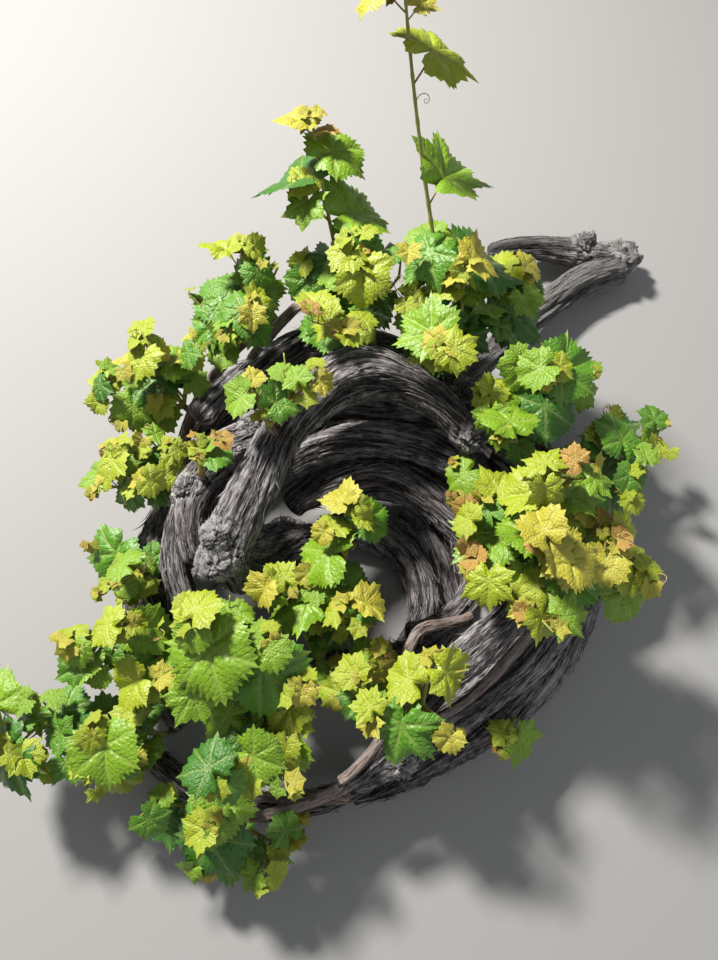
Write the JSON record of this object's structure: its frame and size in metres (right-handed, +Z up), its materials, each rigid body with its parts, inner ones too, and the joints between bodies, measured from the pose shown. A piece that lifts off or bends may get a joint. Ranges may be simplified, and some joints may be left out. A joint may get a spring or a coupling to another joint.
{
  "type": "grapevine",
  "caption": "Old grapevine trained as a low basket: thick shaggy arms coiled round a hollow middle, with young leafy shoots standing on the rim.",
  "frame": {"origin": "middle of the flat cut under the trunk, at ground level", "axes": "+Z up; +Y away from the side that the picture was taken from; +X to the right in that view"},
  "size_m": [1.1029, 1.1408, 0.6579],
  "materials": {
    "old_bark": "dark grey-brown shaggy bark with long fibrous ridges and near-black fissures",
    "cane_bark": "pinkish grey-brown smoother bark with fine lengthwise splits",
    "weathered_wood": "sun-bleached silver-grey old wood with deep lengthwise cracks",
    "foliage": "matt to slightly waxy green leaves, lime and yellow where young, on olive-green shoots"
  },
  "bodies": {
    "root": {"trunk": "old_bark", "top_arm_1": "old_bark", "top_arm_2": "old_bark", "outer_fork": "old_bark", "left_coil_1": "old_bark", "left_coil_2": "old_bark", "mid_arm_1": "old_bark", "mid_arm_2": "old_bark", "low_arm_1": "old_bark", "low_arm_2": "old_bark", "floor_arm": "old_bark", "back_left_arm": "old_bark", "back_arm": "old_bark", "right_arm_1": "old_bark", "right_arm_2": "old_bark", "front_right_arm_1": "old_bark", "front_right_arm_2": "old_bark", "right_foot_arm_1": "old_bark", "right_foot_arm_2": "old_bark", "front_foot_arm": "old_bark", "back_foot_arm": "old_bark", "left_foot_arm": "old_bark", "back_wall_arm_1": "old_bark", "back_wall_arm_2": "old_bark", "heart_coil_1": "old_bark", "heart_coil_2": "old_bark", "heart_coil_3": "old_bark", "left_wall_arm_1": "old_bark", "left_wall_arm_2": "old_bark", "inner_tail": "old_bark", "inner_stub": "old_bark", "old_arm": "weathered_wood", "old_arm_return": "weathered_wood", "crossing_cane": "cane_bark", "bottom_cane": "cane_bark", "lower_cane": "cane_bark", "side_cane": "cane_bark", "upper_cane": "cane_bark", "left_cane": "cane_bark", "upper_left_leaves": "foliage", "left_upper_leaves": "foliage", "left_middle_leaves": "foliage", "left_lower_leaves": "foliage", "left_front_leaves": "foliage", "far_left_leaves": "foliage", "front_left_leaves": "foliage", "front_bottom_leaves": "foliage", "top_left_leaves": "foliage", "top_right_leaves": "foliage", "right_top_leaves": "foliage", "right_middle_leaves": "foliage", "right_lower_leaves": "foliage", "far_right_leaves": "foliage", "centre_leaves": "foliage", "centre_front_leaves": "foliage", "front_right_leaves": "foliage", "inner_left_sprig": "foliage", "left_sprig": "foliage", "inner_right_sprig": "foliage", "outer_right_sprig": "foliage"}
  },
  "joints": []
}
